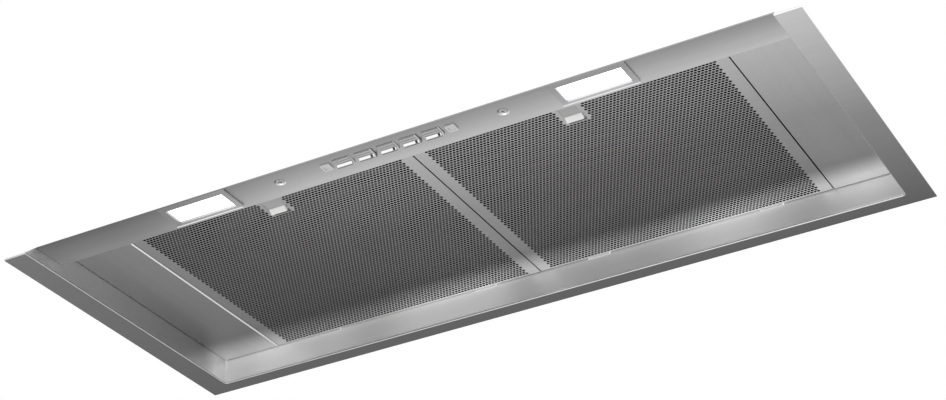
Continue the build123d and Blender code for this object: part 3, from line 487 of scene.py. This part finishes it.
def perforated_row(look, x0, x1, phase, shift, y, plane):
    """One row of holes between two limits, with plain sheet where a whole hole doesn't fit."""
    bm = bmesh.new()
    first = math.ceil((x0 - phase - shift) / look.pitch - 0.01)
    last = math.floor((x1 - phase - shift) / look.pitch + 0.01)
    for count in range(first, last):
        perforation_cell(bm, look, phase + shift + (count + 0.5) * look.pitch, y, plane)
    for low, high in ((x0, phase + shift + first * look.pitch), (phase + shift + last * look.pitch, x1)):
        if high - low > 0.1 * MM:
            plain_sheet(bm, low, high, y - look.row / 2, y + look.row / 2, plane)
    return mesh_from(bm, "perforated row")


def perforated_rows(bm, look, x0, x1, y_rear, rows, phase, plane):
    """Fills a rectangle with rows, from the rear forwards; every second row is half a pitch over."""
    for parity in (0, 1):
        indexes = [index for index in range(*rows) if index % 2 == parity]
        y = y_rear - (indexes[0] + 0.5) * look.row
        row = perforated_row(look, x0, x1, phase, 0.5 * look.pitch * parity, y, plane)
        for _ in indexes:
            bm.from_mesh(row)
            row.transform(Matrix.Translation((0, -2 * look.row, 0)))
        bpy.data.meshes.remove(row)


def plain_sheet(bm, x0, x1, y0, y1, plane):
    """A flat rectangle that faces down."""
    corners = ((x0, y0), (x0, y1), (x1, y1), (x1, y0))
    bm.faces.new([bm.verts.new((x, y, plane)) for x, y in corners])


def build_filter_face(word, look, steel, punched):
    low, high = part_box(word + "_filter_face")
    centre = (low.x + high.x) / 2
    rear = high.y - HOOK_REACH - look.rear_margin
    count = round((high.x - low.x - 2 * look.side_margin) / look.pitch)
    x0 = centre - count / 2 * look.pitch
    x1 = centre + count / 2 * look.pitch
    rows = int((rear - low.y - FRONT_FOLD) / look.row)
    latch_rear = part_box(word + "_latch_slider")[1].y + LATCH_REAR_BORDER
    clear = int((rear - latch_rear) / look.row)
    half = look.latch_border / 2
    front = rear - rows * look.row
    runs = {
        "rear": [(x0, x1, (0, clear // 2))],
        "middle": [(x0, x1, (clear // 2, clear))],
        "front": [(x0, centre - half, (clear, rows)), (centre + half, x1, (clear, rows))],
    }
    for part, pieces in runs.items():
        bm = bmesh.new()
        for start, end, span in pieces:
            perforated_rows(bm, look, start, end, rear, span, x0, low.z)
        mesh = mesh_from(bm, f"{word}_perforation_{part}")
        new_piece(mesh.name, mesh, word + "_filter", "stainless", word + "_filter_face", steel, punched)
    border = (centre - half, centre + half, rear - clear * look.row)
    tray_without_holes(word, (x0, x1, front, rear), border, steel)


def tray_without_holes(word, field, border, steel):
    """The folded tray round the perforated sheet: its margins, folds, hooks and latch window."""
    x0, x1, front, rear = field
    bm = bmesh.new()
    bm.from_mesh(NODES[word + "_filter_face"].data)
    bmesh.ops.remove_doubles(bm, verts=bm.verts, dist=1e-6)
    cuts = [((x, 0, 0), (1, 0, 0)) for x in (x0, x1, border[0], border[1])]
    cuts += [((0, y, 0), (0, 1, 0)) for y in (front, rear, border[2])]
    for point, normal in cuts:
        bmesh.ops.bisect_plane(bm, geom=bm.verts[:] + bm.edges[:] + bm.faces[:], plane_co=point,
                               plane_no=normal)
    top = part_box(word + "_filter_face")[0].z + TRAY_SKIN
    gone = []
    for face in bm.faces:
        c = face.calc_center_median()
        inside = x0 < c.x < x1 and front < c.y < rear and c.z < top and abs(face.normal.z) > 0.9
        bordered = border[0] < c.x < border[1] and c.y < border[2]
        if inside and not bordered:
            gone.append(face)
    bmesh.ops.delete(bm, geom=gone, context="FACES")
    mesh = mesh_from(bm, word + "_filter_tray")
    new_piece(mesh.name, mesh, word + "_filter", "stainless", word + "_filter_face", steel)


# ---------------------------------------------------------------- sheet metal

class HOOD_OT_sheet_metal(bpy.types.Operator):
    """Finishes the trim frame, the control strip and the blank side panels"""
    bl_idname = "hood.sheet_metal"
    bl_label = "Sheet metal"

    def execute(self, context):
        finish_node("trim_frame", brushed("trim steel", "x", trim_painted_light, rear_wall))
        finish_node("control_strip", brushed("strip steel", "x", strip_painted_light))
        panel = brushed("panel steel", "y", panel_painted_light)
        for word in SIDES:
            finish_node(word + "_side_panel", panel)
        return {"FINISHED"}


# ---------------------------------------------------------------- lamps

class HOOD_OT_lamps(bpy.types.Operator):
    """Finishes the lamp bezels, lit lenses, trays and boards"""
    bl_idname = "hood.lamps"
    bl_label = "Lamps"

    def execute(self, context):
        look = context.scene.hood_control
        bezel = bezel_plastic("bezel plastic", tuple(look.bezel))
        tray = moulded("lamp tray enamel", (0.80, 0.80, 0.79), 0.3)
        board = moulded("lamp board mask", (0.82, 0.83, 0.80), 0.35)
        lens = Shader("lit lens", Roughness=0.35, Emission_Strength=look.lens_glow)
        frost = lens.noise(500.0, 2.0)
        lens.set(Base_Color=lens.mix(frost, (0.90, 0.90, 0.88), (0.97, 0.97, 0.96)),
                 Emission_Color=lens.mix(frost, (0.96, 0.97, 1.0), (1.0, 1.0, 1.0)))
        for word in SIDES:
            finish_node(word + "_lamp_bezel", bezel)
            finish_node(word + "_lamp_lens", lens.material)
            finish_node(word + "_lamp_tray", tray)
            finish_node(word + "_led_board", board)
        return {"FINISHED"}


def bezel_plastic(name, colour):
    """Silver-grey plastic whose rear lip gets a painted highlight."""
    shader = Shader(name, Coat_Weight=0.1)
    spark = shader.noise(700.0, 3.0)
    low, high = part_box("left_lamp_bezel")
    lowest = 1 - shader.z.smooth(low.z + 0.6 * MM, low.z + 1.0 * MM)
    # painted highlight along the rear edge of the bezel's lowest face
    lip = shader.y.smooth(high.y - 1.6 * MM, high.y - 1.1 * MM) * lowest
    base = shader.times(shader.mix(spark, shade(colour, 0.90), shade(colour, 1.10)), bezel_painted_shade(shader))
    return shader.set(Base_Color=shader.mix(lip, base, (0.90, 0.90, 0.90)), Roughness=0.34 + spark * 0.10,
                      Normal=shader.bump(spark, 0.06, 0.0003))


def bezel_painted_shade(shader):
    """Painted shade: the bezels are painted to match the strip round them, darker at the left and along the
    front.
    """
    across = shader.between(shader.x.smooth(-0.21, -0.13), 0.62, 1.0)
    return across * shader.y.ramp(-0.143, -0.113, 0.62, 0.72, 0.84, 0.95)


# ---------------------------------------------------------------- keys and latches

def key_plastic(name, colour, dotted):
    """A key's plastic: ribs in front, a pale bar of painted highlight at the rear with a dark line of painted
    shadow behind it, darker stripes at the +X end and a dot.
    """
    shader = Shader(name, Coat_Weight=0.15)
    low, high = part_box("button_light")
    rear = low.y + KEY_DEPTH
    local = shader.x - (shader.x / KEY_PITCH).rounded() * KEY_PITCH
    spark = shader.noise(900.0, 3.0)
    ribs = shader.node("ShaderNodeTexWave", {"bands_direction": "Y"}, Vector=shader.place,
                       Scale=110.0, output=1)
    end_stripes = shader.node("ShaderNodeTexWave", {"bands_direction": "X"}, Vector=shader.place,
                        Scale=150.0, output=1)
    front = shader.mix(ribs, shade(colour, 0.50), shade(colour, 1.15))
    # painted highlight: a pale bar across the rear of each key
    bar = shader.y.inside(rear - 3.6 * MM, rear - 1.7 * MM, 0.4 * MM)
    tint = shader.mix(bar, front, (0.95, 0.95, 0.95))
    # painted shadow: a dark line along the key's rear edge
    tint = shader.mix(shader.y.smooth(rear - 1.9 * MM, rear - 1.4 * MM), tint, (0.16, 0.16, 0.16))
    # darker grey stripes at the +X end of each key
    end = local.smooth(5.6 * MM, 6.2 * MM)
    tint = shader.mix(end, tint, shader.mix(end_stripes, (0.16, 0.16, 0.16), (0.62, 0.62, 0.62)))
    if dotted:
        across = (local - 3.9 * MM) / (1.2 * MM)
        along = (shader.y - (rear - 2.7 * MM)) / (1.0 * MM)
        spot = 1 - (across * across + along * along).smooth(0.75, 1.1)
        tint = shader.mix(spot, tint, (0.004, 0.004, 0.004))
    return shader.set(Base_Color=tint, Roughness=0.36 + spark * 0.12,
                      Normal=shader.bump(ribs * 0.8 + spark * 0.2, 0.15, 0.0003))


class HOOD_OT_keys(bpy.types.Operator):
    """Finishes the push buttons, their block, clips and springs"""
    bl_idname = "hood.keys"
    bl_label = "Keys"

    def execute(self, context):
        look = context.scene.hood_control
        plain = key_plastic("plain key plastic", tuple(look.key), False)
        dotted = key_plastic("dotted key plastic", tuple(look.key), True)
        for key in KEYS:
            finish_node("button_" + key, plain if key == "off" else dotted)
        finish_node("switch_block", moulded("switch block plastic", (0.05, 0.05, 0.05), 0.45))
        finish_node("switch_clips", moulded("clip plastic", (0.58, 0.58, 0.58), 0.36, coat=0.1))
        finish_node("button_springs", machined("spring wire", (0.55, 0.55, 0.56), 0.3))
        return {"FINISHED"}


class HOOD_OT_latches(bpy.types.Operator):
    """Finishes the filter latches, mesh packs and backing sheets"""
    bl_idname = "hood.latches"
    bl_label = "Latches and mesh"

    def execute(self, context):
        look = context.scene.hood_control
        plate = moulded("latch plate plastic", tuple(look.latch), 0.42)
        ridge = moulded("latch ridge plastic", tuple(look.ridge), 0.35, coat=0.1)
        spring = machined("latch spring wire", (0.58, 0.58, 0.6), 0.3)
        pack = mesh_pack("mesh pack", tuple(context.scene.hood_filter.mesh))
        back = brushed("backing sheet", "y")
        for word in SIDES:
            finish_node(word + "_latch_case", plate)
            finish_node(word + "_latch_slider", ridge)
            finish_node(word + "_latch_spring", spring)
            finish_node(word + "_filter_mesh", pack)
            finish_node(word + "_filter_back", back)
        return {"FINISHED"}


# ---------------------------------------------------------------- housing, blower, electrics

class HOOD_OT_housing(bpy.types.Operator):
    """Finishes the housing, its supports, the outlet and every screw"""
    bl_idname = "hood.housing"
    bl_label = "Housing"

    def execute(self, context):
        zinc = galvanised("housing zinc")
        finish_node("housing_shell", zinc)
        for word in SIDES:
            finish_node(word + "_end_plate", zinc)
        finish_node("snap_supports", machined("support steel", (0.50, 0.50, 0.50), 0.32))
        plated = machined("plated screws", (0.55, 0.55, 0.55), 0.25)
        for name in ("housing_screws", "strip_screws", "motor_screws"):
            finish_node(name, plated)
        finish_node("outlet_collar", moulded("collar plastic", (0.035, 0.035, 0.037), 0.45))
        flap = moulded("flap plastic", (0.30, 0.30, 0.31), 0.45)
        finish_node("front_damper_flap", flap)
        finish_node("rear_damper_flap", flap)
        finish_node("damper_pin", machined("pin steel", (0.6, 0.6, 0.61), 0.22))
        return {"FINISHED"}


class HOOD_OT_blower(bpy.types.Operator):
    """Finishes the scroll, the impeller and the motor"""
    bl_idname = "hood.blower"
    bl_label = "Blower"

    def execute(self, context):
        scroll = moulded("scroll plastic", (0.04, 0.04, 0.042), 0.5)
        finish_node("lower_scroll_half", scroll)
        finish_node("upper_scroll_half", scroll)
        finish_node("impeller", moulded("impeller plastic", (0.72, 0.72, 0.70), 0.42))
        finish_node("motor_shaft", machined("ground shaft", (0.62, 0.62, 0.63), 0.18, stretch=(1, 1, 0.1)))
        finish_node("motor_rotor", laminated("rotor stack", (0.26, 0.26, 0.28)))
        finish_node("motor_stator", laminated("stator stack", (0.30, 0.24, 0.18)))
        finish_node("motor_can", moulded("motor paint", (0.16, 0.165, 0.17), 0.34, coat=0.3))
        finish_node("motor_bearings", machined("bearing steel", (0.68, 0.68, 0.68), 0.16))
        finish_node("motor_bracket", galvanised("bracket zinc"))
        finish_node("motor_bushes", moulded("bush rubber", (0.02, 0.02, 0.02), 0.75))
        return {"FINISHED"}


class HOOD_OT_electrics(bpy.types.Operator):
    """Finishes the capacitor, the junction box, the gland and the loom"""
    bl_idname = "hood.electrics"
    bl_label = "Electrics"

    def execute(self, context):
        finish_node("capacitor", moulded("capacitor plastic", (0.80, 0.80, 0.78), 0.3, coat=0.2))
        box = moulded("junction box plastic", (0.34, 0.35, 0.36), 0.5)
        finish_node("junction_box", box)
        finish_node("junction_lid", box)
        finish_node("terminal_block", moulded("terminal nylon", (0.84, 0.84, 0.81), 0.4))
        finish_node("cable_gland", moulded("gland nylon", (0.04, 0.04, 0.04), 0.42))
        finish_node("wiring_loom", moulded("loom sleeve", (0.05, 0.05, 0.05), 0.6))
        return {"FINISHED"}


# ---------------------------------------------------------------- stage

def softbox(name, place, aim, width, height, watts):
    data = bpy.data.lights.new(name, "AREA")
    data.shape = "RECTANGLE"
    data.size = width
    data.size_y = height
    data.energy = watts
    lamp = bpy.data.objects.new(name, data)
    lamp.location = place
    lamp.rotation_euler = (Vector(aim) - Vector(place)).to_track_quat("-Z", "Y").to_euler()
    bpy.context.scene.collection.objects.link(lamp)
    return lamp


class HOOD_OT_stage(bpy.types.Operator):
    """Sets the pale floor, the studio light and the camera"""
    bl_idname = "hood.stage"
    bl_label = "Stage"

    def execute(self, context):
        look = context.scene.hood_stage
        bm = bmesh.new()
        bmesh.ops.create_grid(bm, x_segments=1, y_segments=1, size=6.0)
        bmesh.ops.translate(bm, vec=(0, 0, look.floor), verts=bm.verts)
        floor = bpy.data.objects.new("floor", mesh_from(bm, "floor"))
        context.scene.collection.objects.link(floor)
        paint = Shader("floor paint", Roughness=0.8)
        speck = paint.noise(30.0, 2.0)
        floor.data.materials.append(paint.set(
            Base_Color=paint.mix(speck, (0.80, 0.80, 0.80), (0.84, 0.84, 0.84))))

        world = bpy.data.worlds.new("studio")
        world.use_nodes = True
        world.node_tree.nodes["Background"].inputs["Color"].default_value = (1, 1, 1, 1)
        world.node_tree.nodes["Background"].inputs["Strength"].default_value = 1.0
        context.scene.world = world
        context.scene.view_settings.view_transform = "Standard"

        softbox("front softbox", (0.0, -1.9, -0.7), (0, 0.12, 0.0), 1.8, 0.7, 9)

        data = bpy.data.cameras.new("camera")
        data.lens = look.lens
        data.sensor_width = 36.0
        camera = bpy.data.objects.new("camera", data)
        eye = Vector(look.eye)
        turn = (Vector(look.aim) - eye).to_track_quat("-Z", "Y").to_matrix().to_4x4()
        camera.matrix_world = Matrix.Translation(eye) @ turn @ Matrix.Rotation(look.roll, 4, "Z")
        context.scene.collection.objects.link(camera)
        context.scene.camera = camera
        return {"FINISHED"}


# ---------------------------------------------------------------- panel and registration

STEPS = (HOOD_OT_stage, HOOD_OT_filter_faces, HOOD_OT_sheet_metal, HOOD_OT_lamps, HOOD_OT_keys,
         HOOD_OT_latches, HOOD_OT_housing, HOOD_OT_blower, HOOD_OT_electrics)


class HOOD_PT_panel(bpy.types.Panel):
    """Lists the hood's finishing steps"""
    bl_idname = "HOOD_PT_panel"
    bl_label = "Range hood"
    bl_space_type = "VIEW_3D"
    bl_region_type = "UI"
    bl_category = "Hood"

    def draw(self, context):
        for step in STEPS:
            self.layout.operator(step.bl_idname)


GROUPS = {
    "hood_steel": HoodSteelSettings,
    "hood_filter": HoodFilterSettings,
    "hood_control": HoodControlSettings,
    "hood_stage": HoodStageSettings,
}


def register():
    for name, group in GROUPS.items():
        bpy.utils.register_class(group)
        setattr(bpy.types.Scene, name, bpy.props.PointerProperty(type=group))
    for step in STEPS:
        bpy.utils.register_class(step)
    bpy.utils.register_class(HOOD_PT_panel)


def unregister():
    bpy.utils.unregister_class(HOOD_PT_panel)
    for step in reversed(STEPS):
        bpy.utils.unregister_class(step)
    for name, group in GROUPS.items():
        delattr(bpy.types.Scene, name)
        bpy.utils.unregister_class(group)


def main():
    register()
    for step in STEPS:
        group, action = step.bl_idname.split(".")
        getattr(getattr(bpy.ops, group), action)()


if __name__ == "__main__":
    main()
